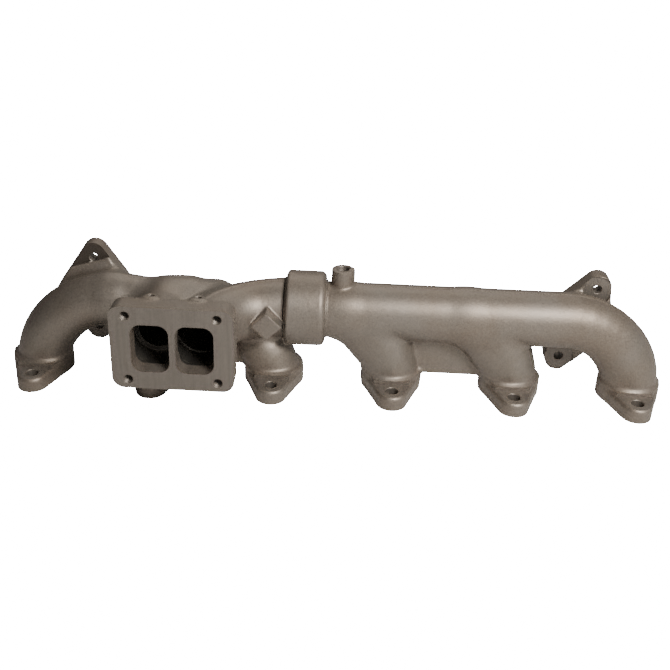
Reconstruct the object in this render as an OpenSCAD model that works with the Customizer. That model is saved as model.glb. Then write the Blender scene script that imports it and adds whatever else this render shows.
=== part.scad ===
// Two-piece exhaust manifold for an in-line six, with a divided turbine flange.
// Origin: centre of port 1 on the gasket plane. +X runs along the log to port 6, +Z points away
// from the cylinder head and the turbine flange faces -Y.

/* [Port flanges] */
// Distance between neighbouring exhaust ports
port_pitch = 127; // [122:1:132]
// Distance between the two bolt holes of a port flange
port_bolt_spacing = 90; // [86:1:96]
// Diameter of a port flange bolt hole
port_bolt_d = 13; // [9:0.5:14]
// Diameter of the port opening in the gasket face
port_d = 47; // [46:0.5:48]
// Width of a port flange across its middle
flange_w = 66; // [62:1:70]
// Radius of the flange ends around the bolts
ear_r = 16; // [14:0.5:17]
// Flange thickness around the runner
flange_t = 18; // [17:0.5:20]
// Flange thickness under a bolt head
seat_t = 15; // [13:0.5:16]

/* [Tubes] */
// Height of the log axis above the gasket plane
log_z = 85; // [83:1:88]
// Outer radius of the log and of the port 6 elbow
log_r = 29.5; // [28.5:0.5:30.5]
// Outer radius of the port runners
runner_r = 29; // [28:0.5:30]
// Radius of the gas passages
passage_r = 22.5; // [21:0.5:22.5]
// Centreline bend radius of the port 6 elbow
elbow_6_bend = 70; // [67:1:72]

/* [Turbine flange] */
// Distance of the turbine face from the row of port centres
turbine_reach = 102.5; // [100:0.5:106]
// Centre of the turbine flange along the log
turbine_x = 162.3; // [160:0.1:165]
// Centre height of the turbine flange
turbine_z = 83; // [81:0.5:86]
// Stud hole distance along the log
turbine_stud_x = 88.9; // [86:0.05:92]
// Stud hole distance in height
turbine_stud_z = 69.85; // [68:0.05:72]
// Drill diameter of the tapped stud holes
turbine_stud_d = 8.5; // [6.8:0.1:10.2]
// Width of one scroll opening
scroll_w = 38.3; // [34:0.1:39]
// Height of one scroll opening
scroll_h = 52; // [46:0.5:54]
// Width of the divider between the openings
divider_t = 5.5; // [5:0.5:7]

/* [Slip joint] */
// Radius of the socket bore that the seal rings run in
socket_r = 31.5; // [31.4:0.05:31.7]
// Outer radius of the socket collar
collar_r = 39.5; // [38:0.5:42]
// Length of the collar
collar_len = 41; // [40:1:46]
// Radius of the spigot
spigot_r = 31; // [30.8:0.05:31.05]
// Radial running clearance between a seal ring and the socket bore
ring_clearance = 0.05; // [0.02:0.01:0.1]
// Width of a seal ring
ring_w = 3; // [2:0.25:4]
// Distance between neighbouring seal rings
ring_pitch = 7; // [6:0.5:8]

/* [Take-off flanges] */
// Distance of both take-off faces behind the row of port centres
takeoff_reach = 38; // [36:1:42]
// Bore diameter of a take-off
takeoff_bore_d = 36; // [30:1:38]
// Diameter of a take-off bolt hole
takeoff_bolt_d = 9; // [8:0.5:11]
// Bolt distance of the take-off beside port 1
takeoff_1_spacing = 81; // [78:1:88]
// Bolt distance of the take-off beside port 6
takeoff_6_spacing = 86; // [84:1:90]
// Lean of the port 6 take-off, in degrees
takeoff_6_lean = 19.7; // [15:0.1:25]

/* [Sensor boss] */
// Place of the boss along the log
boss_x = 324.3; // [322:0.1:328]
// Outer diameter of the boss
boss_d = 23.5; // [22:0.5:26]
// Drill diameter of the M14 x 1.5 thread
boss_hole_d = 12.5; // [10:0.1:13]
// Height of the boss face above the gasket plane
boss_top_z = 131.8; // [126:0.1:136]

/* [Hidden] */
$fn = 64;
SMOOTH = 96;
OVER = 1;

front_iron = [0.42, 0.39, 0.36];
rear_iron = [0.46, 0.43, 0.39];
ring_steel = [0.30, 0.30, 0.31];

// Ports and their flanges
front_ports = [1, 2, 3];
rear_ports = [4, 5, 6];
port_bore_len = 10;
seat_y = port_bolt_spacing / 2 - 13;
web_t = 8;
web_bottom_z = 15;

// Port 1 elbow: a quarter bend that ends level with the log
elbow_1_bend = log_z;
elbow_6_x = port_x(6) - elbow_6_bend;
elbow_6_z = log_z - elbow_6_bend;

// Runners of ports 4 and 5 lean towards the slip joint as they rise
lean_start_z = 14;
lean_shift = 22;

// The runner of port 2 is a little slimmer than the log it joins
port_2_step = 0.5;

// Port 3 passes under and behind the scroll that feeds the right-hand opening
port_3_outer_r = 26;
port_3_passage_r = 20;
port_3_path = [
    [port_x(3), 0, 0],
    [port_x(3) - 2, 2, 29],
    [port_x(3) - 28, 34, 50],
    [port_x(2) + 23, 8, 80]
];

// Turbine flange and its two scrolls
turbine_face_y = -turbine_reach;
turbine_t = 22;
turbine_w = turbine_stud_x + 32.5;
turbine_h = turbine_stud_z + 20;
turbine_corner_r = 12;
scroll_corner_r = 11;
scroll_shift = (scroll_w + divider_t) / 2;
scroll_depth = 30;
left_scroll_r = 24;
right_scroll_r = 26;
scroll_wall = 6;
right_bend = 75;
right_x = turbine_x + scroll_shift;
left_x = turbine_x - scroll_shift;
shield_boss_r = 8;
shield_hole_d = 6.8;
shield_hole_len = 12;
shield_boss_y = -76.5;
shield_boss_shift = 23.1;
shield_boss_len = 24;

// Slip joint
collar_end_x = 308;
collar_start_x = collar_end_x - collar_len;
socket_bottom_x = collar_start_x - 3;
spigot_end_x = collar_start_x;
spigot_root_x = collar_end_x + 4;
groove_r = 27.5;
groove_w = ring_w + 0.2;
ring_inner_r = 28.2;
ring_gap = 1.2;
first_ring_x = spigot_end_x + 7;
ring_xs = [for (i = [0:2]) first_ring_x + i * ring_pitch];
collar_chamfer = 3;
collar_mouth_chamfer = 5;
mouth_lead_in = 1.2;

// Square bracket pad on the right-hand scroll
pad_side = 22;
pad_x = 249.4;
pad_z = 83;
pad_face_y = -46;
pad_depth = 26;

// Take-off flanges on the back of the end elbows
takeoff_t = 19;
takeoff_seat_t = 16;
takeoff_1_x = 57.7;
takeoff_1_z = 81.3;
takeoff_6_x = 577.1;
takeoff_6_z = 70.7;
takeoff_1_w = 76;
takeoff_1_ear_r = 13;
takeoff_1_ear_out = 4; // from a bolt hole outwards to the centre of the arc around it
takeoff_seat_y = 32;

boss_fillet_h = 4;
boss_hole_depth = boss_top_z - log_z;

function port_x(number) = (number - 1) * port_pitch;

// Quarter or part bend of a round bar in the upright plane through the port row
module upright_bend(centre, from_deg, sweep_deg, bend, r) {
    translate(centre)
        rotate([90, 0, 0])
            rotate([0, 0, from_deg])
                rotate_extrude(angle = sweep_deg, $fn = SMOOTH)
                    translate([bend, 0])
                        circle(r);
}

// The same bend lying level
module level_bend(centre, from_deg, sweep_deg, bend, r) {
    translate(centre)
        rotate([0, 0, from_deg])
            rotate_extrude(angle = sweep_deg, $fn = SMOOTH)
                translate([bend, 0])
                    circle(r);
}

// Round bar from one point to another
module bar(from, to, r) {
    way = to - from;
    translate(from)
        rotate([0, acos(way.z / norm(way)), atan2(way.y, way.x)])
            cylinder(r = r, h = norm(way));
}

// Round bars along a path; the balls at its corners are a little larger so that they meet cleanly
module bar_path(points, r) {
    for (i = [0:len(points) - 2])
        bar(points[i], points[i + 1], r);
    for (i = [1:len(points) - 1])
        translate(points[i])
            sphere(r + 0.4);
}

// Outline of a two-bolt flange: a round middle, round ends and the tangents between them
module flange_outline(spacing, middle_r, end_r) {
    reach = spacing / 2;
    lean = asin((middle_r - end_r) / reach);
    wide = middle_r * [cos(lean), sin(lean)];
    tip = [end_r * cos(lean), reach + end_r * sin(lean)];
    circle(middle_r);
    for (side = [-1, 1])
        translate([0, side * reach])
            circle(end_r);
    polygon([
        wide, tip, [-tip.x, tip.y], [-wide.x, wide.y],
        [-wide.x, -wide.y], [-tip.x, -tip.y], [tip.x, -tip.y], [wide.x, -wide.y]
    ]);
}

// Two-bolt flange standing on its face, with a lower bolt seat milled into each end
module two_bolt_flange(spacing, thick, seat, seat_start, middle_r, end_r, end_out) {
    difference() {
        linear_extrude(thick)
            flange_outline(spacing + 2 * end_out, middle_r, end_r);
        for (side = [-1, 1])
            translate([0, side * (seat_start + spacing / 2), seat + thick / 2])
                cube([2 * flange_w, spacing, thick], center = true);
    }
}

module bolt_pair(spacing, d, thick) {
    for (side = [-1, 1])
        translate([0, side * spacing / 2, -OVER])
            cylinder(d = d, h = thick + 2 * OVER);
}

module port_flange(number) {
    translate([port_x(number), 0, 0])
        two_bolt_flange(port_bolt_spacing, flange_t, seat_t, seat_y, flange_w / 2, ear_r, 0);
}

module port_cuts(number) {
    translate([port_x(number), 0, 0])
        bolt_pair(port_bolt_spacing, port_bolt_d, flange_t);
    translate([port_x(number), 0, -OVER])
        cylinder(d = port_d, h = port_bore_len + OVER);
}

// Take-off flange with its face towards +Y
module takeoff_at(x, z, lean) {
    translate([x, takeoff_reach, z])
        rotate([90, 0, 0])
            rotate([0, 0, -lean])
                children();
}

module takeoff_flange(spacing, w, end_r, end_out) {
    two_bolt_flange(spacing, takeoff_t, takeoff_seat_t, takeoff_seat_y, w / 2, end_r, end_out);
}

module takeoff_cuts(spacing) {
    bolt_pair(spacing, takeoff_bolt_d, takeoff_t);
    translate([0, 0, -OVER])
        cylinder(d = takeoff_bore_d, h = takeoff_reach + OVER);
}

// Rounded rectangle centred on the origin
module rounded_rectangle(w, h, r) {
    square([w - 2 * r, h], center = true);
    square([w, h - 2 * r], center = true);
    for (x = [-1, 1], y = [-1, 1])
        translate([x * (w / 2 - r), y * (h / 2 - r)])
            circle(r);
}

// Places a shape drawn in the plane of the turbine face; it is extruded away from the turbine
module behind_turbine_face(x, depth) {
    translate([x, turbine_face_y + depth, turbine_z])
        rotate([90, 0, 0])
            linear_extrude(depth)
                children();
}

// Space under the gasket plane, cleared so that every flange face is flat
module under_gasket_plane() {
    translate([-port_pitch, -port_pitch, -port_pitch])
        cube([7 * port_pitch, 2 * port_pitch, port_pitch]);
}

module web(from_port, to_port) {
    translate([port_x(from_port), -web_t / 2, web_bottom_z])
        cube([port_x(to_port) - port_x(from_port), web_t, log_z - web_bottom_z]);
}

module collar() {
    translate([collar_start_x, 0, log_z])
        rotate([90, 0, 90])
            rotate_extrude($fn = SMOOTH)
                polygon([
                    [0, 0],
                    [collar_r - collar_chamfer, 0],
                    [collar_r, collar_chamfer],
                    [collar_r, collar_len - collar_mouth_chamfer],
                    [collar_r - collar_mouth_chamfer, collar_len],
                    [0, collar_len]
                ]);
}

module socket_bore() {
    translate([socket_bottom_x, 0, log_z])
        rotate([0, 90, 0])
            cylinder(r = socket_r, h = collar_end_x - socket_bottom_x + OVER, $fn = SMOOTH);
    translate([collar_end_x - mouth_lead_in, 0, log_z])
        rotate([0, 90, 0])
            cylinder(r1 = socket_r, r2 = socket_r + 2 * mouth_lead_in, h = 2 * mouth_lead_in, $fn = SMOOTH);
}

module bracket_pad() {
    translate([pad_x, pad_face_y + pad_depth / 2, pad_z])
        rotate([0, 45, 0])
            cube([pad_side, pad_depth, pad_side], center = true);
}

module shield_bosses(r, top_z, h) {
    for (side = [-1, 1])
        translate([turbine_x + side * shield_boss_shift, shield_boss_y, top_z - h])
            cylinder(r = r, h = h);
}

// Everything solid in the front casting before its passages are cut
module front_body() {
    for (number = front_ports)
        port_flange(number);
    upright_bend([elbow_1_bend, 0, 0], 90, 90, elbow_1_bend, runner_r);
    bar([elbow_1_bend, 0, log_z], [left_x, 0, log_z], runner_r);
    bar([port_x(2), 0, 0], [port_x(2), 0, log_z], runner_r - port_2_step);
    bar([left_x, 0, log_z], [left_x, turbine_face_y + turbine_t / 2, turbine_z], left_scroll_r + scroll_wall);
    translate([left_x, 0, log_z])
        sphere(left_scroll_r + scroll_wall + 1);
    bar_path(port_3_path, port_3_outer_r);
    level_bend([right_x + right_bend, -right_bend, log_z], 90, 90, right_bend, right_scroll_r + scroll_wall);
    bar([right_x + right_bend, 0, log_z], [collar_start_x + 1, 0, log_z], right_scroll_r + scroll_wall);
    bar([right_x, -right_bend, log_z], [right_x, turbine_face_y + turbine_t / 2, log_z], right_scroll_r + scroll_wall);
    behind_turbine_face(turbine_x, turbine_t)
        rounded_rectangle(turbine_w, turbine_h, turbine_corner_r);
    shield_bosses(shield_boss_r, turbine_z + turbine_h / 2, shield_boss_len);
    web(2, 3);
    collar();
    bracket_pad();
    takeoff_at(takeoff_1_x, takeoff_1_z, 0)
        takeoff_flange(takeoff_1_spacing, takeoff_1_w, takeoff_1_ear_r, takeoff_1_ear_out);
}

module front_passages() {
    for (number = front_ports)
        port_cuts(number);
    upright_bend([elbow_1_bend, 0, 0], 90, 90, elbow_1_bend, passage_r);
    bar([elbow_1_bend, 0, log_z], [left_x, 0, log_z], passage_r);
    bar([port_x(2), 0, 0], [port_x(2), 0, log_z], passage_r - port_2_step);
    bar([left_x, 0, log_z], [left_x, turbine_face_y + turbine_t, turbine_z], left_scroll_r);
    translate([left_x, 0, log_z])
        sphere(left_scroll_r + 1);
    bar_path(port_3_path, port_3_passage_r);
    level_bend([right_x + right_bend, -right_bend, log_z], 90, 90, right_bend, right_scroll_r);
    bar([right_x + right_bend, 0, log_z], [collar_start_x, 0, log_z], right_scroll_r);
    for (side = [-1, 1])
        behind_turbine_face(turbine_x + side * scroll_shift, scroll_depth)
            rounded_rectangle(scroll_w, scroll_h, scroll_corner_r);
    for (x = [-1, 1], z = [-1, 1])
        translate([turbine_x + x * turbine_stud_x / 2, turbine_face_y - OVER, turbine_z + z * turbine_stud_z / 2])
            rotate([-90, 0, 0])
                cylinder(d = turbine_stud_d, h = turbine_t + 2 * OVER);
    shield_bosses(shield_hole_d / 2, turbine_z + turbine_h / 2 + OVER, shield_hole_len + OVER);
    socket_bore();
    takeoff_at(takeoff_1_x, takeoff_1_z, 0)
        takeoff_cuts(takeoff_1_spacing);
}

module front_casting() {
    color(front_iron)
        difference() {
            front_body();
            front_passages();
            under_gasket_plane();
        }
}

// Runner of a middle port of the rear casting: upright at the flange, then leaning to the joint
module leaning_runner(number, r) {
    bar_path([
        [port_x(number), 0, 0],
        [port_x(number), 0, lean_start_z],
        [port_x(number) - lean_shift, 0, log_z]
    ], r);
}

module spigot() {
    translate([spigot_end_x, 0, log_z])
        rotate([0, 90, 0])
            cylinder(r = spigot_r, h = spigot_root_x - spigot_end_x, $fn = SMOOTH);
}

module ring_grooves() {
    for (x = ring_xs)
        translate([x, 0, log_z])
            rotate([0, 90, 0])
                difference() {
                    cylinder(r = spigot_r + OVER, h = groove_w, $fn = SMOOTH);
                    translate([0, 0, -OVER])
                        cylinder(r = groove_r, h = groove_w + 2 * OVER, $fn = SMOOTH);
                }
}

module sensor_boss() {
    translate([boss_x, 0, log_z])
        cylinder(d = boss_d, h = boss_top_z - log_z);
    translate([boss_x, 0, log_z + log_r - 1])
        cylinder(d1 = boss_d + 2 * boss_fillet_h, d2 = boss_d, h = boss_fillet_h);
}

module rear_body() {
    for (number = rear_ports)
        port_flange(number);
    spigot();
    bar([spigot_root_x - 1, 0, log_z], [elbow_6_x, 0, log_z], log_r);
    upright_bend([elbow_6_x, 0, elbow_6_z], 0, 90, elbow_6_bend, log_r);
    bar([port_x(6), 0, 0], [port_x(6), 0, elbow_6_z], log_r);
    leaning_runner(4, runner_r);
    leaning_runner(5, runner_r);
    web(4, 5);
    sensor_boss();
    takeoff_at(takeoff_6_x, takeoff_6_z, takeoff_6_lean)
        takeoff_flange(takeoff_6_spacing, flange_w, ear_r, 0);
}

module rear_passages() {
    for (number = rear_ports)
        port_cuts(number);
    bar([spigot_end_x - OVER, 0, log_z], [elbow_6_x, 0, log_z], passage_r);
    upright_bend([elbow_6_x, 0, elbow_6_z], 0, 90, elbow_6_bend, passage_r);
    bar([port_x(6), 0, 0], [port_x(6), 0, elbow_6_z], passage_r);
    leaning_runner(4, passage_r);
    leaning_runner(5, passage_r);
    translate([boss_x, 0, log_z])
        cylinder(d = boss_hole_d, h = boss_hole_depth + OVER);
    ring_grooves();
    takeoff_at(takeoff_6_x, takeoff_6_z, takeoff_6_lean)
        takeoff_cuts(takeoff_6_spacing);
}

module rear_casting() {
    color(rear_iron)
        difference() {
            rear_body();
            rear_passages();
            under_gasket_plane();
        }
}

// Split seal ring in its groove; the gaps of the three rings are turned against each other
module seal_ring(index) {
    side_play = (groove_w - ring_w) / 2;
    color(ring_steel)
        translate([ring_xs[index] + side_play, 0, log_z])
            rotate([0, 90, 0])
                rotate([0, 0, 60 + 120 * index])
                    difference() {
                        cylinder(r = socket_r - ring_clearance, h = ring_w, $fn = SMOOTH);
                        translate([0, 0, -OVER])
                            cylinder(r = ring_inner_r, h = ring_w + 2 * OVER, $fn = SMOOTH);
                        translate([0, -ring_gap / 2, -OVER])
                            cube([2 * socket_r, ring_gap, ring_w + 2 * OVER]);
                    }
}

module seal_ring_inner() {
    seal_ring(0);
}

module seal_ring_middle() {
    seal_ring(1);
}

module seal_ring_outer() {
    seal_ring(2);
}

front_casting();
rear_casting();
seal_ring_inner();
seal_ring_middle();
seal_ring_outer();
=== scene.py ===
"""Studio scene of a two-piece cast-iron exhaust manifold.

Each casting is modelled as a distance field in millimetres, blended with real fillets, meshed, and then
machined with exact cutters, the way the real one is cast and then milled and drilled.
"""

import math

import bmesh
import bpy
import numpy as np
from mathutils import Matrix, Vector


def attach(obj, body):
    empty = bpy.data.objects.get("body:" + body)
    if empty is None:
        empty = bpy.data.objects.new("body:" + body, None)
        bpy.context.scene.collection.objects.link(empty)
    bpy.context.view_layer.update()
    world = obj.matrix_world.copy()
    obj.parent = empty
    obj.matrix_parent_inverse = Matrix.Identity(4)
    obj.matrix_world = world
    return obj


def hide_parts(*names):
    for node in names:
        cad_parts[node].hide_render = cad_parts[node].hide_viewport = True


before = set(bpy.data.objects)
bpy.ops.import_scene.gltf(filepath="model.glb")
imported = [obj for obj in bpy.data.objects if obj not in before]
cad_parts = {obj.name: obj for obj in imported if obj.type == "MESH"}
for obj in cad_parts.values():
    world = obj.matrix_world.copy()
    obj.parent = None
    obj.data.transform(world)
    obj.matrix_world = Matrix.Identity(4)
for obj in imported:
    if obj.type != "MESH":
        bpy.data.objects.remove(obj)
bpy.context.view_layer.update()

MM = 0.001
FAR = 60.0          # field value where there is nothing near
REACH = 16.0        # how far outside its box a shape is worked out
STEP = 1.0

# Main sizes and places, in millimetres. The gasket plane is z = 0 and the ports stand in a row along X.
PITCH = 127.0
PORT_R = 23.5
PORT_DEPTH = 10.0
BOLT_Y, BOLT_R = 45.0, 6.5
SEAT_Z, SEAT_START = 15.0, 32.0
PASSAGE_R = 22.5
LOG_Z, LOG_R = 85.0, 29.4
ELBOW_1_X = 85.0
ELBOW_6_X, ELBOW_6_Z, ELBOW_6_BEND = 565.0, 15.0, 70.0
TURBINE_X, TURBINE_Y, TURBINE_Z = 162.3, -102.5, 83.0
TURBINE_HALF_W, TURBINE_HALF_H, TURBINE_CORNER = 60.7, 44.93, 12.0
STUD_X, STUD_Z = 44.45, 34.925
MOUTH_SHIFT, MOUTH_DEPTH = 21.9, 14.0
LEFT_X, RIGHT_X, RIGHT_BEND = 141.0, 184.2, 75.0
SHIELD_X, SHIELD_Y, SHIELD_TOP = 23.1, -76.5, 128.0
COLLAR_START, COLLAR_END, COLLAR_R = 267.0, 308.0, 39.5
SOCKET_START, SOCKET_R = 264.0, 31.5
SPIGOT_R, SPIGOT_ROOT = 31.0, 309.0
GROOVES, GROOVE_W, GROOVE_R = (288.0, 281.0, 274.0), 3.2, 27.5
TAKEOFF_Y, TAKEOFF_THICK = 38.0, 19.0
TAKEOFF_SEAT = TAKEOFF_Y - 16.0
TAKEOFF_BORE_R, TAKEOFF_BOLT_R, TAKEOFF_END_R = 18.0, 4.5, 13.5
TAKEOFF_1 = (57.7, 81.3, 40.5, 0.0, 38.0)      # x, z, half bolt distance, lean in degrees, middle radius
TAKEOFF_6 = (577.1, 70.7, 43.0, 19.7, 33.0)
BOSS_X, BOSS_TOP, BOSS_R = 324.3, 131.8, 11.75
PAD_X, PAD_Z, PAD_HALF = 248.6, 83.0, 10.8
PLATE_R, EAR_R = 31.8, 16.0         # port flanges
WEB_HALF = 4.2
BELOW = -14.0                       # bottom of the cast stock under the gasket plane, milled off later


# ---------------------------------------------------------------- distance fields

def length(*parts):
    return np.sqrt(sum(p * p for p in parts))


def round_union(a, b, r):
    """a and b together, with a fillet of radius r between them."""
    if r <= 0:
        return np.minimum(a, b)
    return np.maximum(r, np.minimum(a, b)) - length(np.maximum(r - a, 0), np.maximum(r - b, 0))


def round_cut(a, b, r):
    """a with b taken away, the new edges rounded."""
    if r <= 0:
        return np.maximum(a, -b)
    return np.minimum(-r, np.maximum(a, -b)) + length(np.maximum(r + a, 0), np.maximum(r - b, 0))


class Field:
    """A solid as signed distances on a regular grid."""

    def __init__(self, low, high):
        self.low, self.high = np.array(low, float), np.array(high, float)
        count = np.ceil((np.array(high, float) - self.low) / STEP).astype(int) + 1
        self.axes = [(self.low[i] + STEP * np.arange(count[i])).astype(np.float32) for i in range(3)]
        self.d = np.full(count, FAR, np.float32)
        self.hollow = np.full(count, FAR, np.float32)

    def window(self, low, high):
        cuts = []
        for i in range(3):
            first = np.searchsorted(self.axes[i], low[i] - REACH)
            last = np.searchsorted(self.axes[i], high[i] + REACH)
            cuts.append(slice(first, last))
        x, y, z = (self.axes[i][cuts[i]] for i in range(3))
        return tuple(cuts), x[:, None, None], y[None, :, None], z[None, None, :]

    def add(self, shape, blend=0.0):
        low, high, distance = shape
        cut, x, y, z = self.window(low, high)
        self.d[cut] = round_union(self.d[cut], distance(x, y, z), blend)

    def take(self, shape, blend=0.0, passage=True):
        low, high, distance = shape
        cut, x, y, z = self.window(low, high)
        gone = distance(x, y, z)
        self.d[cut] = round_cut(self.d[cut], gone, blend)
        if passage:
            self.hollow[cut] = np.minimum(self.hollow[cut], gone)

    def raise_line(self, low, high, line, height, width):
        """A parting line: a fine step that faces the negative side of line and fades on the other side."""
        cut, x, y, z = self.window(low, high)
        t = line(x, y, z)
        fade = np.clip((high[0] + REACH - x) / 12, 0, 1) * np.clip((x - low[0] + REACH) / 12, 0, 1)
        step = height * fade * np.exp(-0.5 * (t / np.where(t < 0, width, 7 * width)) ** 2)
        self.d[cut] -= step.astype(np.float32)


def tube(points):
    """Round bar with ball ends through points (x, y, z, r)."""
    pts = np.array(points, float)
    low = (pts[:, :3] - pts[:, 3:4]).min(0)
    high = (pts[:, :3] + pts[:, 3:4]).max(0)

    def distance(x, y, z):
        best = None
        for (ax, ay, az, ar), (bx, by, bz, br) in zip(pts[:-1], pts[1:]):
            vx, vy, vz = bx - ax, by - ay, bz - az
            px, py, pz = x - ax, y - ay, z - az
            t = np.clip((px * vx + py * vy + pz * vz) / max(vx * vx + vy * vy + vz * vz, 1e-9), 0, 1)
            d = length(px - t * vx, py - t * vy, pz - t * vz) - (ar + t * (br - ar))
            best = d if best is None else np.minimum(best, d)
        return best.astype(np.float32)

    return low, high, distance


def smooth_path(points, count):
    """Catmull-Rom curve through points (x, y, z, r)."""
    pts = np.array(points, float)
    pts = np.vstack([2 * pts[0] - pts[1], pts, 2 * pts[-1] - pts[-2]])
    rows = []
    for i in range(1, len(pts) - 2):
        a, b, c, d = pts[i - 1:i + 3]
        for t in np.linspace(0, 1, count, endpoint=False):
            rows.append(0.5 * (2 * b + (c - a) * t + (2 * a - 5 * b + 4 * c - d) * t * t
                               + (3 * b - a - 3 * c + d) * t ** 3))
    rows.append(pts[-2])
    return rows


def bend(centre, flat, radius, first, last, r):
    """Part of a ring with ball ends. flat 'xz' stands upright and 'xy' lies level. Angles in degrees."""
    cx, cy, cz = centre
    a0, a1 = math.radians(first), math.radians(last)
    middle, half = (a0 + a1) / 2, (a1 - a0) / 2
    big = radius + r
    low = np.array([cx, cy, cz]) - [big, big, big]
    high = np.array([cx, cy, cz]) + [big, big, big]

    def distance(x, y, z):
        u = x - cx
        v, w = (z - cz, y - cy) if flat == "xz" else (y - cy, z - cz)
        around = np.arctan2(v, u) - middle
        around = (around + math.pi) % (2 * math.pi) - math.pi
        around = np.clip(around, -half, half)
        angle = middle + around
        return (length(u - radius * np.cos(angle), v - radius * np.sin(angle), w) - r).astype(np.float32)

    return low, high, distance


def slab(outline, axis, start, end, reach, rounding):
    """A flat outline given thickness along axis 0, 1 or 2. outline(x, y, z) is a distance in its plane."""
    middle, half = (start + end) / 2, (end - start) / 2
    low, high = np.array(reach[0], float), np.array(reach[1], float)

    def distance(x, y, z):
        flat = outline(x, y, z) + rounding
        deep = np.abs((x, y, z)[axis] - middle) - half + rounding
        out = length(np.maximum(flat, 0), np.maximum(deep, 0)) + np.minimum(np.maximum(flat, deep), 0)
        return (out - rounding).astype(np.float32)

    return low, high, distance


def uneven_capsule(u, v, reach, middle_r, end_r):
    """Outline of a two-bolt flange: a round middle, round ends at v = +-reach, and their tangents."""
    u, v = np.abs(u), np.abs(v)
    b = (middle_r - end_r) / reach
    a = math.sqrt(1 - b * b)
    k = -b * u + a * v
    return np.where(k < 0, length(u, v) - middle_r,
                    np.where(k > a * reach, length(u, v - reach) - end_r, a * u + b * v - middle_r))


def rounded_rectangle(u, v, half_u, half_v, r):
    """Outline of a rectangle around the origin, with corners rounded to r."""
    qu, qv = np.abs(u) - half_u + r, np.abs(v) - half_v + r
    return length(np.maximum(qu, 0), np.maximum(qv, 0)) + np.minimum(np.maximum(qu, qv), 0) - r


def add_port_flange(f, x0):
    """Two ears with well-rounded upper edges and a taller round middle."""
    reach = ((x0 - 34, -62, BELOW), (x0 + 34, 62, 20))
    layers = (
        (lambda x, y, z: uneven_capsule(x - x0, y, BOLT_Y, PLATE_R, EAR_R), 15.8, 5.0, 0),
        (lambda x, y, z: uneven_capsule(x - x0, y, BOLT_Y, 28.6, 12.2), 18.3, 0.8, 0),
        (lambda x, y, z: length(x - x0, y) - PLATE_R, 19.5, 2.0, 1.5),
    )
    for outline, top, rounding, blend in layers:
        f.add(slab(outline, 2, BELOW, top, reach, rounding), blend)


def takeoff_flange(place):
    """Two-bolt flange that faces +Y, with stock left on its face for milling."""
    x0, z0, half, lean, middle_r = place
    turn = math.radians(lean)

    def outline(x, y, z):
        u, v = x - x0, z - z0
        across = u * math.cos(turn) - v * math.sin(turn)
        along = u * math.sin(turn) + v * math.cos(turn)
        return uneven_capsule(across, along, half + 3, middle_r, TAKEOFF_END_R)

    start = TAKEOFF_Y - TAKEOFF_THICK
    reach = ((x0 - 62, start, z0 - 62), (x0 + 62, TAKEOFF_Y + 4, z0 + 62))
    return slab(outline, 1, start, TAKEOFF_Y + 12, reach, 2.6)


def box_shape(low, high, r):
    """A box with edges rounded to r."""
    low, high = np.array(low, float), np.array(high, float)
    centre, half = (low + high) / 2, (high - low) / 2

    def distance(x, y, z):
        q = [np.abs(c - centre[i]) - half[i] + r for i, c in enumerate((x, y, z))]
        outside = length(*[np.maximum(k, 0) for k in q])
        inside = np.minimum(np.maximum(np.maximum(q[0], q[1]), q[2]), 0)
        return (outside + inside - r).astype(np.float32)

    return low, high, distance


def drum(x0, x1, r, left_round, right_round):
    """A short cylinder around the log's axis with differently rounded ends."""
    def distance(x, y, z):
        radial = length(y, z - LOG_Z)
        middle = (x0 + x1) / 2
        e = np.where(x < middle, left_round, right_round)
        q = np.abs(x - middle) - (x1 - x0) / 2 + e
        s = radial - r + e
        outside = length(np.maximum(q, 0), np.maximum(s, 0))
        return (outside + np.minimum(np.maximum(q, s), 0) - e).astype(np.float32)

    return (x0, -r, LOG_Z - r), (x1, r, LOG_Z + r), distance


# ---------------------------------------------------------------- meshing

CORNERS = [(i, j, k) for i in (0, 1) for j in (0, 1) for k in (0, 1)]
EDGES = [(a, b) for a in range(8) for b in range(a + 1, 8)
         if sum(abs(CORNERS[a][i] - CORNERS[b][i]) for i in range(3)) == 1]


def sample(field, p):
    """Field value and slope at points, by trilinear interpolation."""
    g = (p - field.low) / STEP
    base = np.clip(np.floor(g).astype(int), 0, np.array(field.d.shape) - 2)
    f = g - base
    value = np.zeros(len(p))
    slope = np.zeros((len(p), 3))
    for c in CORNERS:
        d = field.d[base[:, 0] + c[0], base[:, 1] + c[1], base[:, 2] + c[2]].astype(float)
        w = [f[:, i] if c[i] else 1 - f[:, i] for i in range(3)]
        value += d * w[0] * w[1] * w[2]
        for i in range(3):
            others = [w[j] for j in range(3) if j != i]
            slope[:, i] += d * (1 if c[i] else -1) * others[0] * others[1]
    return value, slope / STEP


def close_field(d):
    """Closes the field at its border and joins samples that only touch along an edge."""
    for axis in range(3):
        for end in (0, -1):
            border = [slice(None)] * 3
            border[axis] = end
            d[tuple(border)] = np.maximum(d[tuple(border)], 0.5 * STEP)
    for _ in range(12):
        inside = d < 0
        joined = 0
        for u, v in ((0, 1), (0, 2), (1, 2)):
            def part(a, i, j):
                cut = [slice(None)] * 3
                cut[u] = slice(i, a.shape[u] - 1 + i)
                cut[v] = slice(j, a.shape[v] - 1 + j)
                return a[tuple(cut)]
            s00, s10, s01, s11 = (part(inside, i, j) for i, j in ((0, 0), (1, 0), (0, 1), (1, 1)))
            crossed = (s00 == s11) & (s10 == s01) & (s00 != s10)
            joined += int(crossed.sum())
            part(d, 0, 0)[crossed & ~s00] = -0.02 * STEP
            part(d, 1, 0)[crossed & s00] = -0.02 * STEP
        if not joined:
            break


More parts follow.
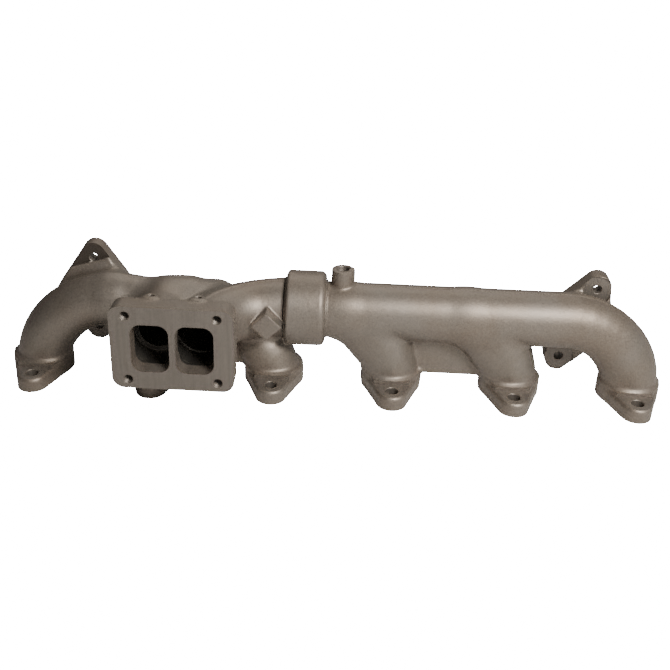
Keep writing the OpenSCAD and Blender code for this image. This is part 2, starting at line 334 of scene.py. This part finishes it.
def mesh_field(field):
    """Surface nets: one vertex in each cell that the surface crosses, then pulled onto the surface."""
    d = field.d
    close_field(d)
    inside = d < 0
    shape = np.array(d.shape) - 1
    count = np.zeros(shape, np.uint8)
    for c in CORNERS:
        count += inside[c[0]:shape[0] + c[0], c[1]:shape[1] + c[1], c[2]:shape[2] + c[2]]
    cells = np.argwhere((count > 0) & (count < 8))
    corner = [d[cells[:, 0] + c[0], cells[:, 1] + c[1], cells[:, 2] + c[2]] for c in CORNERS]
    total = np.zeros((len(cells), 3))
    hits = np.zeros(len(cells))
    for a, b in EDGES:
        da, db = corner[a].astype(float), corner[b].astype(float)
        cross = (da < 0) != (db < 0)
        t = np.where(cross, da / np.where(cross, da - db, 1), 0)
        for i in range(3):
            total[:, i] += np.where(cross, CORNERS[a][i] + t * (CORNERS[b][i] - CORNERS[a][i]), 0)
        hits += cross
    points = field.low + STEP * (cells + total / hits[:, None])
    for _ in range(2):
        value, slope = sample(field, points)
        steep = np.maximum((slope ** 2).sum(1), 0.25)
        move = -(value / steep)[:, None] * slope
        far = length(*move.T)
        points += move * np.minimum(1, 0.35 * STEP / np.maximum(far, 1e-9))[:, None]
    number = np.full(shape, -1, np.int32)
    number[tuple(cells.T)] = np.arange(len(cells))
    quads = []
    for axis in range(3):
        u, v = (axis + 1) % 3, (axis + 2) % 3
        near = [slice(1, -1)] * 3
        near[axis] = slice(0, -1)
        far_side = list(near)
        far_side[axis] = slice(1, None)
        a, b = inside[tuple(near)], inside[tuple(far_side)]
        for flip in (False, True):
            here = np.argwhere((a & ~b) if not flip else (~a & b))
            here[:, u] += 1
            here[:, v] += 1
            around = []
            for du, dv in ((-1, -1), (0, -1), (0, 0), (-1, 0)):
                cell = here.copy()
                cell[:, u] += du
                cell[:, v] += dv
                around.append(number[tuple(cell.T)])
            quad = np.stack(around, 1)
            quads.append(quad[:, ::-1] if flip else quad)
    return points, np.vstack(quads)


def new_object(name, points, faces):
    """A mesh object from points in millimetres."""
    mesh = bpy.data.meshes.new(name)
    mesh.from_pydata((np.asarray(points) * MM).tolist(), [], np.asarray(faces).tolist())
    mesh.validate()
    piece = bpy.data.objects.new(name, mesh)
    bpy.context.scene.collection.objects.link(piece)
    return piece


OUTSIDE = 2.0       # how far a cutter starts outside the surface


class Cutter:
    """Exact solids to machine a casting with, gathered in one mesh."""

    def __init__(self):
        self.bm = bmesh.new()

    def box(self, low, high, turn=0.0, about=(0, 0, 0)):
        low, high = Vector(low), Vector(high)
        corners = [Vector((x, y, z)) for x in (low.x, high.x) for y in (low.y, high.y)
                   for z in (low.z, high.z)]
        spin = Matrix.Rotation(math.radians(turn), 3, "Y")
        centre = Vector(about)
        v = [self.bm.verts.new(centre + spin @ (c - centre)) for c in corners]
        for f in ((0, 1, 3, 2), (4, 6, 7, 5), (0, 4, 5, 1), (2, 3, 7, 6), (0, 2, 6, 4), (1, 5, 7, 3)):
            self.bm.faces.new([v[i] for i in f])

    def lathe(self, start, axis, profile, sides):
        """Turns a closed profile of (distance along the axis, radius) rows. A radius of 0 is on the axis."""
        axis = Vector(axis).normalized()
        side = axis.orthogonal().normalized()
        up = axis.cross(side)
        start = Vector(start)
        rings = []
        for t, r in profile:
            if r == 0:
                rings.append([self.bm.verts.new(start + axis * t)] * sides)
            else:
                spokes = []
                for i in range(sides):
                    a = 2 * math.pi * i / sides
                    spokes.append(start + axis * t + (side * math.cos(a) + up * math.sin(a)) * r)
                rings.append([self.bm.verts.new(spoke) for spoke in spokes])
        open_ends = profile[0][1] == 0 and profile[-1][1] == 0
        pairs = list(zip(rings[:-1], rings[1:]))
        if not open_ends:
            pairs.append((rings[-1], rings[0]))
        for p, q in pairs:
            for i in range(sides):
                j = (i + 1) % sides
                corners = []
                for c in (p[i], p[j], q[j], q[i]):
                    if c not in corners:
                        corners.append(c)
                if len(corners) > 2:
                    self.bm.faces.new(corners)

    def drill(self, start, axis, depth, r, sides, chamfer=0.6):
        """A hole from just outside the mouth at start, with a chamfered mouth."""
        self.lathe(start, axis, [(-OUTSIDE, 0), (-OUTSIDE, r + chamfer + OUTSIDE), (chamfer, r),
                                 (depth, r), (depth, 0)], sides)

    def apply(self, piece):
        """Cuts the gathered solids out of the piece."""
        bmesh.ops.recalc_face_normals(self.bm, faces=self.bm.faces)
        mesh = bpy.data.meshes.new("cutter")
        self.bm.to_mesh(mesh)
        self.bm.free()
        mesh.transform(Matrix.Scale(MM, 4))
        cutter = bpy.data.objects.new("cutter", mesh)
        bpy.context.scene.collection.objects.link(cutter)
        change = piece.modifiers.new("machine", "BOOLEAN")
        change.operation = "DIFFERENCE"
        change.object = cutter
        change.solver = "MANIFOLD"
        bpy.context.view_layer.update()
        seen = bpy.context.evaluated_depsgraph_get()
        result = bpy.data.meshes.new_from_object(piece.evaluated_get(seen))
        piece.modifiers.clear()
        old = piece.data
        piece.data = result
        bpy.data.meshes.remove(old)
        bpy.data.objects.remove(cutter)


# ---------------------------------------------------------------- the two castings

def port_flanges(like, centres):
    """Port flanges in a field of their own, so that they join the runners with one fillet."""
    ports = Field(like.low, like.high)
    for x0 in centres:
        add_port_flange(ports, x0)
    return ports


def front_field():
    f = Field((-36, -112, BELOW + 10), (312, 66, 150))
    x2, x3 = PITCH, 2 * PITCH
    # Log, left to right: port 1 elbow, a slimmer neck, then the collector
    f.add(bend((ELBOW_1_X, 0, 0), "xz", 85.6, 90, 180, 28.0))
    f.add(tube(smooth_path([(80, 0, 85, 28.5), (105, -1, 84.5, 27.6), (125, -3, 82.6, 26.4),
                            (150, -6, 81, 29)], 4)), 4)
    # Collector dome over the left-hand scroll, and the scroll itself
    f.add(tube([(147, -8, 82, 30.5), (163, -4, 82.6, 32.4), (186, 5, 77.0, 30.0)]), 7)
    f.add(tube([(LEFT_X, -8, 82, 30.5), (LEFT_X, -84, 83, 31.0)]), 12)
    # Port 3 runner: up from its flange, back under the right-hand scroll and into the collector
    f.add(tube(smooth_path([(254, 0, -6, 28.0), (252.5, 0, 15, 27.8), (242, 4, 37, 28.0),
                            (222, 22, 56, 27.5), (190, 18, 74, 27.0)], 5)), 8)
    # Right-hand scroll to the collar
    f.add(tube(smooth_path([(275, 0, 85, 31.0), (259.2, 0, 84.6, 30.8), (230.5, -5.7, 83.2, 30.0),
                            (206.2, -22, 82.6, 30.4), (189.9, -46.3, 82.8, 31.6), (184.2, -75, 83.5, 33.0),
                            (184.2, -86, 84, 33.0)], 4)), 8)
    # Port 2 runner
    f.add(tube([(x2, 0, -6, 28.5), (x2, 0, 70, 28.0)]), 10)
    # Web between ports 2 and 3
    f.add(box_shape((x2, -WEB_HALF, 15), (x3, WEB_HALF, 60), 3.0), 4)
    f.d = round_union(f.d, port_flanges(f, (0, x2, x3)).d, 4.5)
    f.add(tube([(TAKEOFF_1[0] + 1, 2, TAKEOFF_1[1], 22.5), (TAKEOFF_1[0], 20, TAKEOFF_1[1], 22.5)]), 4)
    f.add(takeoff_flange(TAKEOFF_1), 13)
    add_turbine_flange(f)
    f.add(drum(COLLAR_START, COLLAR_END, COLLAR_R, 3.0, 6.5), 5)
    f.add(bracket_pad(), 1.5)
    add_shield_bosses(f)
    # Parting lines
    f.raise_line((-36, -6, 20), (150, 3, 125), lambda x, y, z: y + 1.5, 0.8, 0.6)
    centre_x, centre_y = RIGHT_X + RIGHT_BEND, -RIGHT_BEND
    f.raise_line((196, -60, 100), (262, 10, 125),
                 lambda x, y, z: length(x - centre_x, y - centre_y) - RIGHT_BEND + 0 * z, 0.9, 0.6)
    # Gas passages
    f.take(bend((ELBOW_1_X, 0, 0), "xz", 85.0, 90, 180, PASSAGE_R), 1)
    f.take(tube([(ELBOW_1_X, 0, LOG_Z, PASSAGE_R), (LEFT_X, -4, 84, 23.5)]), 1)
    f.take(tube([(x2, 0, -8, 22.0), (x2, 0, 80, 22.0)]), 2)
    f.take(tube([(LEFT_X, -4, 84, 24.0), (LEFT_X, -45, 83, 24.5)]), 2)
    f.take(tube(smooth_path([(254, 0, -8, 21.5), (252.5, 0, 15, 21.5), (242, 4, 37, 21), (222, 20, 56, 20),
                             (190, 17, 74, 20), (160, 2, 80, 20)], 5)), 1)
    f.take(bend((centre_x, centre_y, LOG_Z), "xy", RIGHT_BEND, 90, 180, 25.0), 1)
    f.take(tube([(centre_x, 0, LOG_Z, 26.0), (SOCKET_START, 0, LOG_Z, 26.0)]), 1)
    for side in (-1, 1):
        take_turbine_opening(f, TURBINE_X + 0.4 + side * MOUTH_SHIFT)
    f.take(tube([(TAKEOFF_1[0], 12, TAKEOFF_1[1], 17.6), (TAKEOFF_1[0], 50, TAKEOFF_1[1], 17.6)]), 1)
    return f


def add_turbine_flange(f):
    """Divided turbine flange, with stock left on its face for milling."""
    start, end = TURBINE_Y - 4, TURBINE_Y + 22

    def outline(x, y, z):
        return rounded_rectangle(x - TURBINE_X, z - TURBINE_Z, TURBINE_HALF_W, TURBINE_HALF_H, TURBINE_CORNER)

    f.add(slab(outline, 1, start, end, ((100, start, 36), (225, end, 130)), 1.1), 9)


def add_shield_bosses(f):
    for side in (-1, 1):
        sx = TURBINE_X + side * SHIELD_X
        f.add(slab(lambda x, y, z: length(x - sx, y - SHIELD_Y) - 7.0, 2, 100, SHIELD_TOP,
                   ((sx - 9, -86, 100), (sx + 9, -68, SHIELD_TOP)), 0.8), 6)


def bracket_pad():
    """A square block turned on its corner, with its flat face at the front."""
    front, back = -46.0, -20.0

    def distance(x, y, z):
        u, v = (x - PAD_X) * 0.95, z - PAD_Z
        p, q = (u + v) / math.sqrt(2), (v - u) / math.sqrt(2)
        flat = rounded_rectangle(p, q, PAD_HALF, PAD_HALF, 1.2)
        return np.maximum(np.maximum(flat, front - y), y - back).astype(np.float32)

    return (230, front, 64), (269, back, 102), distance


def take_turbine_opening(f, cx):
    """A slightly tapered rectangular mouth, then a throat that turns round."""
    end = 42.0

    def mouth(x, y, z):
        deep = np.clip((y - TURBINE_Y) / 15.0, 0, 1)
        flat = rounded_rectangle(x - cx, z - TURBINE_Z, 18.8, 25.8, 11.0) + 1.2 * deep
        return np.maximum(flat, y - (TURBINE_Y + 20)).astype(np.float32)

    def throat(x, y, z):
        rounder = np.clip((y - TURBINE_Y - MOUTH_DEPTH) / 26.0, 0, 1)
        square = rounded_rectangle(x - cx, z - TURBINE_Z, 17.7, 24.7, 11.0)
        flat = square + (length(x - cx, z - TURBINE_Z) - 24.5 - square) * rounder
        ends = np.maximum(TURBINE_Y + MOUTH_DEPTH - y, y - TURBINE_Y - end)
        return np.maximum(flat, ends).astype(np.float32)

    f.take(((cx - 20, TURBINE_Y - 6, 55), (cx + 20, TURBINE_Y + 30, 111), mouth), 0.8, passage=False)
    f.take(((cx - 24, TURBINE_Y + 12, 55), (cx + 24, TURBINE_Y + 44, 111), throat))


def rear_field():
    """Rear casting, with the spigot left a little large for turning."""
    f = Field((258, -66, BELOW + 10), (672, 66, 138))
    x4, x5, x6 = 3 * PITCH, 4 * PITCH, 5 * PITCH
    f.add(tube([(314, 0, LOG_Z, LOG_R), (ELBOW_6_X, 0, LOG_Z, LOG_R)]))
    # The port 6 elbow is cut a little short at its corner
    rows = []
    for a in (math.radians(angle) for angle in range(0, 91, 10)):
        reach = ELBOW_6_BEND - 3 * math.sin(2 * a)
        rows.append((ELBOW_6_X + reach * math.sin(a), 0, ELBOW_6_Z + reach * math.cos(a), 29.3))
    f.add(tube(rows))
    f.add(tube([(x6, 0, -6, 29.2), (x6, 0, ELBOW_6_Z, 29.2)]))
    f.add(drum(264, 309.2, SPIGOT_R + 0.1, 0.5, 0.6), 1)
    # Runners of ports 4 and 5 lean into the log
    for x0 in (x4, x5):
        f.add(tube([(x0, 0, 20, 24.5), (x0 - 53, 0, 84, 24.5)]), 12)
        f.add(tube(smooth_path([(x0, 0, -6, 28.2), (x0, 0, 12, 27.8), (x0 - 6, -1, 40, 27.4),
                                (x0 - 22, -1, 78, 26.0)], 4)), 5)
    f.add(box_shape((x4, -WEB_HALF, 15), (x5, WEB_HALF, 70), 3.0), 4)
    f.d = round_union(f.d, port_flanges(f, (x4, x5, x6)).d, 4.5)
    f.add(tube([(TAKEOFF_6[0], 4, TAKEOFF_6[1] + 4, 20.5), (TAKEOFF_6[0], 22, TAKEOFF_6[1], 22.0)]), 3)
    f.add(takeoff_flange(TAKEOFF_6), 6)
    f.add(slab(lambda x, y, z: length(x - BOSS_X, y) - BOSS_R, 2, 90, BOSS_TOP,
               ((BOSS_X - 12, -12, 90), (BOSS_X + 12, 12, BOSS_TOP)), 1.0), 3.0)
    f.raise_line((330, -4, 20), (672, 2, 125), lambda x, y, z: y + 1.5, 0.9, 0.6)
    # Gas passages
    f.take(tube([(250, 0, LOG_Z, PASSAGE_R), (ELBOW_6_X, 0, LOG_Z, PASSAGE_R)]))
    f.take(bend((ELBOW_6_X, 0, ELBOW_6_Z), "xz", ELBOW_6_BEND, 0, 90, PASSAGE_R))
    f.take(tube([(x6, 0, -8, PASSAGE_R), (x6, 0, ELBOW_6_Z, PASSAGE_R)]))
    for x0 in (x4, x5):
        f.take(tube(smooth_path([(x0, 0, -8, PASSAGE_R), (x0, 0, 12, 22.3), (x0 - 6, -1, 40, 21.5),
                                 (x0 - 22, -1, 78, 20.5)], 4)), 2)
    f.take(tube([(TAKEOFF_6[0], 14, TAKEOFF_6[1] + 3, 16.5), (TAKEOFF_6[0], 26, TAKEOFF_6[1], 17.6),
                 (TAKEOFF_6[0], 50, TAKEOFF_6[1], 17.6)]), 1)
    return f


# ---------------------------------------------------------------- machining

def machine_port(c, x0):
    """Flat bolt seats on both ears."""
    for side in (-1, 1):
        near, far = sorted((side * SEAT_START, side * 75.0))
        c.box((x0 - 40, near, SEAT_Z), (x0 + 40, far, 34))


def drill_port(c, x0):
    """Port mouth from below and two bolt holes from the seats."""
    profile = [(-OUTSIDE, 0), (-OUTSIDE, PORT_R), (PORT_DEPTH, PORT_R), (PORT_DEPTH, 0)]
    c.lathe((x0, 0, 0), (0, 0, 1), profile, 96)
    for side in (-1, 1):
        c.drill((x0, side * BOLT_Y, SEAT_Z), (0, 0, -1), SEAT_Z + 5, BOLT_R, 64)


def machine_takeoff(c, place):
    """Milled bolt seats: slanting flats beside port 1, round spot faces beside port 6."""
    x0, z0, half, lean, _ = place
    turn = math.radians(lean)
    for side in (-1, 1):
        x, z = x0 + side * half * math.sin(turn), z0 + side * half * math.cos(turn)
        if lean:
            c.lathe((x, TAKEOFF_SEAT, z), (0, -1, 0), [(0, 0), (0, 15.5), (14, 15.5), (14, 0)], 64)
        else:
            wide, tall = (45, 40) if side > 0 else (26, 28)
            low, high = sorted((z - side * 3.6, z + side * tall))
            c.box((x - wide, TAKEOFF_SEAT - 14, low), (x + wide, TAKEOFF_SEAT, high), -17.0, (x, 0, z))


def drill_takeoff(c, place):
    """Gas bore and two plain bolt holes."""
    x0, z0, half, lean, _ = place
    turn = math.radians(lean)
    profile = [(-3, 0), (-3, TAKEOFF_BORE_R), (14, TAKEOFF_BORE_R), (14, 0)]
    c.lathe((x0, TAKEOFF_Y, z0), (0, -1, 0), profile, 96)
    for side in (-1, 1):
        start = (x0 + side * half * math.sin(turn), TAKEOFF_SEAT, z0 + side * half * math.cos(turn))
        c.drill(start, (0, 1, 0), 22, TAKEOFF_BOLT_R, 48)


def tapped(c, start, axis, depth, minor, major, pitch, sides):
    """A hole with thread grooves and a countersunk mouth."""
    t = 0.3
    rows = [(-OUTSIDE, 0), (-OUTSIDE, major + 1.9), (t, major - 0.4)]
    while t < depth - pitch:
        rows += [(t + 0.40 * pitch, minor), (t + 0.60 * pitch, minor), (t + pitch, major - 0.05)]
        t += pitch
    rows += [(t + 0.4 * pitch, minor), (depth, minor), (depth, 0)]
    c.lathe(start, axis, rows, sides)


def make_front():
    f = front_field()
    points, faces = mesh_field(f)
    piece = new_object("front_casting_body", points, faces)
    # Milling
    cuts = Cutter()
    cuts.box((-60, -80, -20), (330, 80, 0))
    cuts.box((-20, TAKEOFF_Y, 20), (140, TAKEOFF_Y + 20, 150))
    cuts.box((80, TURBINE_Y - 20, 20), (245, TURBINE_Y, 145))
    for number in range(3):
        machine_port(cuts, number * PITCH)
    machine_takeoff(cuts, TAKEOFF_1)
    cuts.apply(piece)
    # Drilling, tapping and boring
    cuts = Cutter()
    for number in range(3):
        drill_port(cuts, number * PITCH)
    drill_takeoff(cuts, TAKEOFF_1)
    for sx in (-1, 1):
        for sz in (-1, 1):
            tapped(cuts, (TURBINE_X + sx * STUD_X, TURBINE_Y, TURBINE_Z + sz * STUD_Z), (0, 1, 0), 23,
                   4.25, 5.0, 1.5, 48)
    for side in (-1, 1):
        tapped(cuts, (TURBINE_X + side * SHIELD_X, SHIELD_Y, SHIELD_TOP + 0.2), (0, 0, -1), 12,
               3.4, 4.0, 1.25, 40)
    cuts.lathe((0, 0, LOG_Z), (1, 0, 0), [(SOCKET_START, 0), (SOCKET_START, SOCKET_R), (307.4, SOCKET_R),
                                          (309.4, SOCKET_R + 2), (309.4, 0)], 128)
    cuts.apply(piece)
    finish_piece(piece, f, "front_casting", "front_iron")


def make_rear():
    f = rear_field()
    points, faces = mesh_field(f)
    piece = new_object("rear_casting_body", points, faces)
    # Milling, and turning the spigot with its ring grooves
    cuts = Cutter()
    cuts.box((330, -80, -20), (690, 80, 0))
    cuts.box((538, TAKEOFF_Y, 5), (613, TAKEOFF_Y + 20, 150))
    for number in (3, 4, 5):
        machine_port(cuts, number * PITCH)
    machine_takeoff(cuts, TAKEOFF_6)
    sleeve = [(262, 37), (SPIGOT_ROOT, 37), (SPIGOT_ROOT, SPIGOT_R)]
    for x in GROOVES:
        sleeve += [(x + GROOVE_W, SPIGOT_R), (x + GROOVE_W, GROOVE_R), (x, GROOVE_R), (x, SPIGOT_R)]
    sleeve += [(COLLAR_START + 1, SPIGOT_R), (COLLAR_START, SPIGOT_R - 1), (COLLAR_START, 20.0), (262, 20.0)]
    cuts.lathe((0, 0, LOG_Z), (1, 0, 0), sleeve, 128)
    cuts.apply(piece)
    # Drilling and tapping
    cuts = Cutter()
    for number in (3, 4, 5):
        drill_port(cuts, number * PITCH)
    drill_takeoff(cuts, TAKEOFF_6)
    tapped(cuts, (BOSS_X, 0, BOSS_TOP), (0, 0, -1), 27, 6.25, 6.9, 1.5, 64)
    cuts.apply(piece)
    finish_piece(piece, f, "rear_casting", "rear_iron")


def read_points(data, key, count):
    """Places of faces or vertices, in millimetres."""
    values = np.zeros(count * 3)
    data.foreach_get(key, values)
    return values.reshape(-1, 3) / MM


def mark(mesh, name, domain, values):
    layer = mesh.attributes.new(name, "FLOAT", domain)
    layer.data.foreach_set("value", values.astype(np.float32))


def finish_piece(piece, field, node, slot):
    """Marks what was machined and where painted shade and a painted dark reflection go, sets the shading and
    hangs the piece on the CAD frame.
    """
    mesh = piece.data
    front = node == "front_casting"
    places = read_points(mesh.polygons, "center", len(mesh.polygons))
    depth, _ = sample(field, places)
    cut = (depth < -0.22) | (np.abs(places[:, 1] - TAKEOFF_Y) < 0.05) | (np.abs(places[:, 2]) < 0.05)
    dark = np.zeros(len(places), bool)
    if front:
        cut |= places[:, 1] < TURBINE_Y + 0.3
        # Painted reflection: the upper milled seat of the port 1 take-off gets a dark colour that stands in
        # for the dark surroundings it reflects.
        dark = cut & (np.abs(places[:, 1] - TAKEOFF_SEAT) < 0.3) & (places[:, 2] > 100)
    mark(mesh, "machined", "FACE", cut)
    mark(mesh, "painted_dark_reflection", "FACE", dark)
    # The passages get painted shade: a darker colour that stands in for the shade inside them. Beside the
    # turbine openings they begin behind the mouths.
    corners = read_points(mesh.vertices, "co", len(mesh.vertices))
    solid, field.d = field.d, field.hollow
    hollow, _ = sample(field, corners)
    field.d = solid
    deep = np.clip((corners[:, 1] - TURBINE_Y - 15) / 1.5, 0, 1) if front else 1.0
    mark(mesh, "inner", "POINT", np.clip(1.6 - np.abs(hollow), 0, 1) * deep)
    mesh.shade_smooth()
    mesh.set_sharp_from_angle(angle=math.radians(34))
    mesh.materials.clear()
    mesh.materials.append(cast_iron(slot))
    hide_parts(node)
    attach(piece, node)


# ---------------------------------------------------------------- materials

class Shader:
    """Small helper that adds and links nodes."""

    def __init__(self, name):
        self.material = bpy.data.materials.new(name)
        self.material.use_nodes = True
        self.tree = self.material.node_tree
        self.tree.nodes.clear()
        self.out = self.node("ShaderNodeOutputMaterial")
        self.bsdf = self.node("ShaderNodeBsdfPrincipled")
        self.link(self.bsdf.outputs[0], self.out.inputs[0])
        self.place = self.node("ShaderNodeTexCoord").outputs["Object"]

    def node(self, kind, **values):
        n = self.tree.nodes.new(kind)
        for key, value in values.items():
            setattr(n, key, value)
        return n

    def link(self, a, b):
        self.tree.links.new(a, b)

    def noise(self, scale, detail, roughness, stretch=None):
        n = self.node("ShaderNodeTexNoise")
        n.inputs["Scale"].default_value = scale
        n.inputs["Detail"].default_value = detail
        n.inputs["Roughness"].default_value = roughness
        source = self.place
        if stretch:
            m = self.node("ShaderNodeMapping")
            m.inputs["Scale"].default_value = stretch
            self.link(self.place, m.inputs[0])
            source = m.outputs[0]
        self.link(source, n.inputs["Vector"])
        return n.outputs[0]

    def ramp(self, value, low, high, a=0.0, b=1.0):
        n = self.node("ShaderNodeMapRange")
        n.inputs["From Min"].default_value = low
        n.inputs["From Max"].default_value = high
        n.inputs["To Min"].default_value = a
        n.inputs["To Max"].default_value = b
        self.link(value, n.inputs["Value"])
        return n.outputs[0]

    def maths(self, operation, a, b):
        n = self.node("ShaderNodeMath", operation=operation)
        for i, v in enumerate((a, b)):
            if isinstance(v, (int, float)):
                n.inputs[i].default_value = v
            else:
                self.link(v, n.inputs[i])
        return n.outputs[0]

    def mix(self, amount, a, b):
        n = self.node("ShaderNodeMix", data_type="RGBA")
        for i, v in ((0, amount), (6, a), (7, b)):
            if isinstance(v, (int, float)):
                n.inputs[i].default_value = v
            elif isinstance(v, tuple):
                n.inputs[i].default_value = (*v, 1.0)
            else:
                self.link(v, n.inputs[i])
        return n.outputs[2]


def cast_iron(slot):
    """Rough cast iron that is smoother where it was machined, with painted shade darkening the gas passages
    and a painted dark reflection on one take-off seat.
    """
    s = Shader(slot + "_look")
    machined = s.node("ShaderNodeAttribute", attribute_name="machined").outputs["Fac"]
    grey, brown = (0.235, 0.208, 0.180), (0.205, 0.165, 0.130)
    light = (0.330, 0.290, 0.245)
    cloud = s.ramp(s.noise(14.0, 4.0, 0.6), 0.35, 0.65)
    grain = s.ramp(s.noise(620.0, 3.0, 0.7), 0.35, 0.68)
    body = s.mix(cloud, grey, brown)
    body = s.mix(s.maths("MULTIPLY", grain, 0.45), body, light)
    pits = s.ramp(s.noise(480.0, 2.0, 0.5), 0.60, 0.76)
    body = s.mix(s.maths("MULTIPLY", pits, 0.30), body, (0.09, 0.072, 0.055))
    streak = s.ramp(s.noise(260.0, 3.0, 0.6, (1.0, 0.08, 0.08)), 0.3, 0.7)
    cut = s.mix(streak, (0.200, 0.176, 0.152), (0.240, 0.212, 0.184))
    # Painted shade: the gas passages are coloured near black, standing in for the shade that falls inside
    # them.
    inner = s.node("ShaderNodeAttribute", attribute_name="inner").outputs["Fac"]
    body = s.mix(inner, body, s.mix(cloud, (0.050, 0.047, 0.042), (0.085, 0.078, 0.068)))
    # Painted dark reflection: the milled colour of the upper port 1 take-off seat is darkened.
    painted_dark_reflection = s.node("ShaderNodeAttribute", attribute_name="painted_dark_reflection").outputs["Fac"]
    cut = s.mix(painted_dark_reflection, cut, (0.085, 0.070, 0.058))
    colour = s.mix(machined, body, cut)
    s.link(colour, s.bsdf.inputs["Base Color"])
    s.bsdf.inputs["Metallic"].default_value = 0.65
    rough = s.ramp(grain, 0, 1, 0.42, 0.54)
    rough_cut = s.ramp(streak, 0, 1, 0.44, 0.54)
    blend = s.node("ShaderNodeMix", data_type="FLOAT")
    s.link(machined, blend.inputs[0])
    s.link(rough, blend.inputs[2])
    s.link(rough_cut, blend.inputs[3])
    s.link(blend.outputs[0], s.bsdf.inputs["Roughness"])
    height = s.maths("ADD", s.maths("MULTIPLY", s.noise(800.0, 4.0, 0.65), 0.7),
                     s.maths("MULTIPLY", s.noise(150.0, 3.0, 0.6), 1.0))
    height = s.maths("MULTIPLY", height, s.maths("SUBTRACT", 1.0, s.maths("MULTIPLY", machined, 0.85)))
    bump = s.node("ShaderNodeBump")
    bump.inputs["Strength"].default_value = 0.35
    bump.inputs["Distance"].default_value = 0.0006
    s.link(height, bump.inputs["Height"])
    s.link(bump.outputs[0], s.bsdf.inputs["Normal"])
    return s.material


def ring_material():
    """Turned steel of the seal rings."""
    s = Shader("ring_look")
    turned = s.ramp(s.noise(900.0, 2.0, 0.5, (1.0, 0.05, 0.05)), 0.3, 0.7)
    s.link(s.mix(turned, (0.30, 0.30, 0.31), (0.42, 0.42, 0.43)), s.bsdf.inputs["Base Color"])
    s.bsdf.inputs["Metallic"].default_value = 0.9
    s.link(s.ramp(turned, 0, 1, 0.28, 0.40), s.bsdf.inputs["Roughness"])
    return s.material


# ---------------------------------------------------------------- studio

WHITE = 40.0        # strength at which the background is plain white in the picture


def make_camera():
    """Camera at the viewing angle of the photograph: from the front, above, with a slight roll."""
    elevation = math.radians(28.15)
    yaw = math.radians(-2.61)
    roll = math.radians(1.57)
    forward = Vector((math.sin(yaw) * math.cos(elevation), math.cos(yaw) * math.cos(elevation),
                      -math.sin(elevation)))
    level = Vector((math.cos(yaw), -math.sin(yaw), 0.0))
    above = level.cross(forward)
    right = level * math.cos(roll) + above * math.sin(roll)
    up = above * math.cos(roll) - level * math.sin(roll)
    data = bpy.data.cameras.new("camera")
    data.lens = 52.87
    data.sensor_width = 36.0
    data.shift_x = 0.0442
    data.clip_start = 0.01
    data.clip_end = 50.0
    camera = bpy.data.objects.new("camera", data)
    turn = Matrix((right, up, -forward)).transposed()
    camera.matrix_world = Matrix.Translation(Vector((0.3294, -0.9283, 0.5493))) @ turn.to_4x4()
    bpy.context.scene.collection.objects.link(camera)
    bpy.context.scene.camera = camera


def area_light(name, place, target, size, power, colour):
    data = bpy.data.lights.new(name, "AREA")
    data.shape = "RECTANGLE"
    data.size, data.size_y = size
    data.energy = power
    data.color = colour
    lamp = bpy.data.objects.new(name, data)
    lamp.location = place
    aim = Vector(target) - Vector(place)
    lamp.rotation_mode = "QUATERNION"
    lamp.rotation_quaternion = aim.to_track_quat("-Z", "Y")
    bpy.context.scene.collection.objects.link(lamp)


def make_world():
    """Soft daylight, brighter from the right. The camera sees white."""
    world = bpy.data.worlds.new("studio")
    world.use_nodes = True
    tree = world.node_tree
    back = tree.nodes["Background"]
    back.inputs[0].default_value = (1.0, 0.985, 0.96, 1)
    parts = tree.nodes.new("ShaderNodeSeparateXYZ")
    level = tree.nodes.new("ShaderNodeMapRange")
    level.inputs["From Min"].default_value = -0.9
    level.inputs["From Max"].default_value = 0.9
    level.inputs["To Min"].default_value = 0.03
    level.inputs["To Max"].default_value = 0.28
    tree.links.new(tree.nodes.new("ShaderNodeTexCoord").outputs["Generated"], parts.inputs[0])
    tree.links.new(parts.outputs[0], level.inputs["Value"])
    seen = tree.nodes.new("ShaderNodeMix")
    seen.inputs[3].default_value = WHITE
    tree.links.new(tree.nodes.new("ShaderNodeLightPath").outputs["Is Camera Ray"], seen.inputs[0])
    tree.links.new(level.outputs[0], seen.inputs[2])
    tree.links.new(seen.outputs[0], back.inputs[1])
    bpy.context.scene.world = world


def make_floor():
    """A matt floor that the camera sees as plain white."""
    s = 6.0 / MM
    z = -0.5
    floor = new_object("floor", [(-s, -s, z), (s, -s, z), (s, s, z), (-s, s, z)], [(0, 1, 2, 3)])
    material = bpy.data.materials.new("floor_white")
    material.use_nodes = True
    tree = material.node_tree
    tree.nodes.clear()
    out = tree.nodes.new("ShaderNodeOutputMaterial")
    diffuse = tree.nodes.new("ShaderNodeBsdfDiffuse")
    diffuse.inputs[0].default_value = (0.62, 0.62, 0.62, 1)
    glow = tree.nodes.new("ShaderNodeEmission")
    glow.inputs[1].default_value = WHITE
    path = tree.nodes.new("ShaderNodeLightPath")
    blend = tree.nodes.new("ShaderNodeMixShader")
    tree.links.new(path.outputs["Is Camera Ray"], blend.inputs[0])
    tree.links.new(diffuse.outputs[0], blend.inputs[1])
    tree.links.new(glow.outputs[0], blend.inputs[2])
    tree.links.new(blend.outputs[0], out.inputs[0])
    floor.data.materials.append(material)


def make_studio():
    make_world()
    centre = (0.40, 0.0, 0.06)
    area_light("key", (0.92, -0.84, 0.98), centre, (0.45, 0.35), 24.0, (1.0, 0.965, 0.92))
    area_light("fill", (0.55, -1.6, 0.5), centre, (1.0, 0.6), 1.4, (1.0, 0.97, 0.93))
    area_light("top", (0.26, 0.75, 1.15), (0.24, 0.0, 0.06), (1.1, 0.5), 3.5, (1.0, 0.94, 0.87))
    make_floor()


make_camera()
make_studio()
make_front()
make_rear()
ring_look = ring_material()
for name in ("seal_ring_inner", "seal_ring_middle", "seal_ring_outer"):
    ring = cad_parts[name]
    for place in ring.material_slots:
        place.material = ring_look
